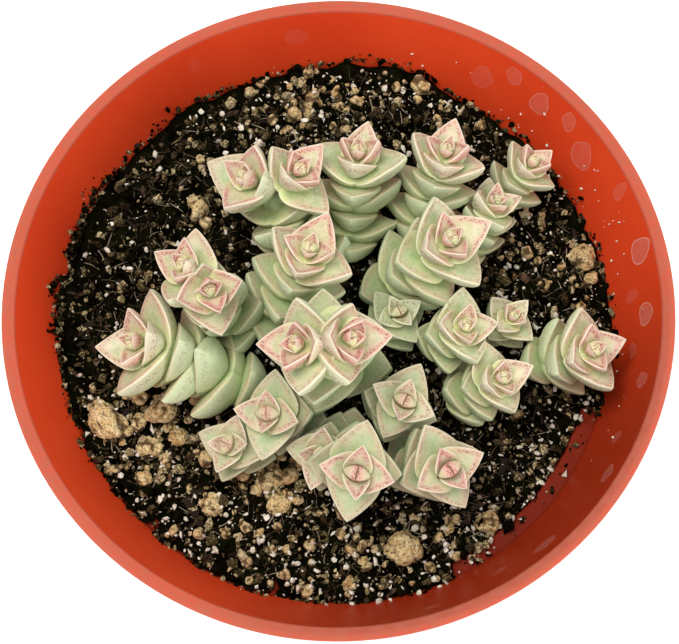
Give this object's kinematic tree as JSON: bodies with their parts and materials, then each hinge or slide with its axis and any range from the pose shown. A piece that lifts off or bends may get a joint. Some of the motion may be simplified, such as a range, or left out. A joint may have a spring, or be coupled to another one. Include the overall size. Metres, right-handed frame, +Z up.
{
  "type": "potted tom thumb crassula",
  "caption": "Small potted succulent: upright stems of stacked triangular leaf pairs in dark soil with pumice, in a round flared plastic nursery pot.",
  "frame": {"origin": "middle of the pot's flat underside, where it stands", "axes": "+Z up along the pot's axis, -Y towards the front, +X to the right"},
  "size_m": [0.1, 0.1, 0.0982],
  "materials": {
    "pot": "smooth terracotta-red plastic, lightly scuffed rim, dried water marks",
    "soil": "damp dark potting mix with bark, fibres and white perlite",
    "pumice": "rough porous tan pumice",
    "leaves": "pale mint green with a waxy bloom, pink margins and tips, rows of dark dots"
  },
  "bodies": {
    "root": {"pot": "pot", "soil": "soil", "pumice_stone_1": "pumice", "pumice_stone_2": "pumice", "pumice_stone_3": "pumice", "pumice_stone_4": "pumice", "pumice_stone_5": "pumice", "pumice_stone_6": "pumice", "pumice_stone_7": "pumice", "pumice_stone_8": "pumice", "twin_stem_back_left": "leaves", "stem_middle_back": "leaves", "twin_stem_middle": "leaves", "twin_stem_left": "leaves", "stem_far_left": "leaves", "stem_back": "leaves", "stem_back_right": "leaves", "stem_right_upper": "leaves", "stem_far_back_right": "leaves", "stem_pink_right": "leaves", "stem_green_middle": "leaves", "stem_right_inner": "leaves", "stem_right_small": "leaves", "stem_right_front": "leaves", "stem_far_right": "leaves", "stem_front_middle": "leaves", "stem_front_right": "leaves", "stem_front": "leaves", "stem_front_left": "leaves", "stem_low_left": "leaves"}
  },
  "joints": []
}
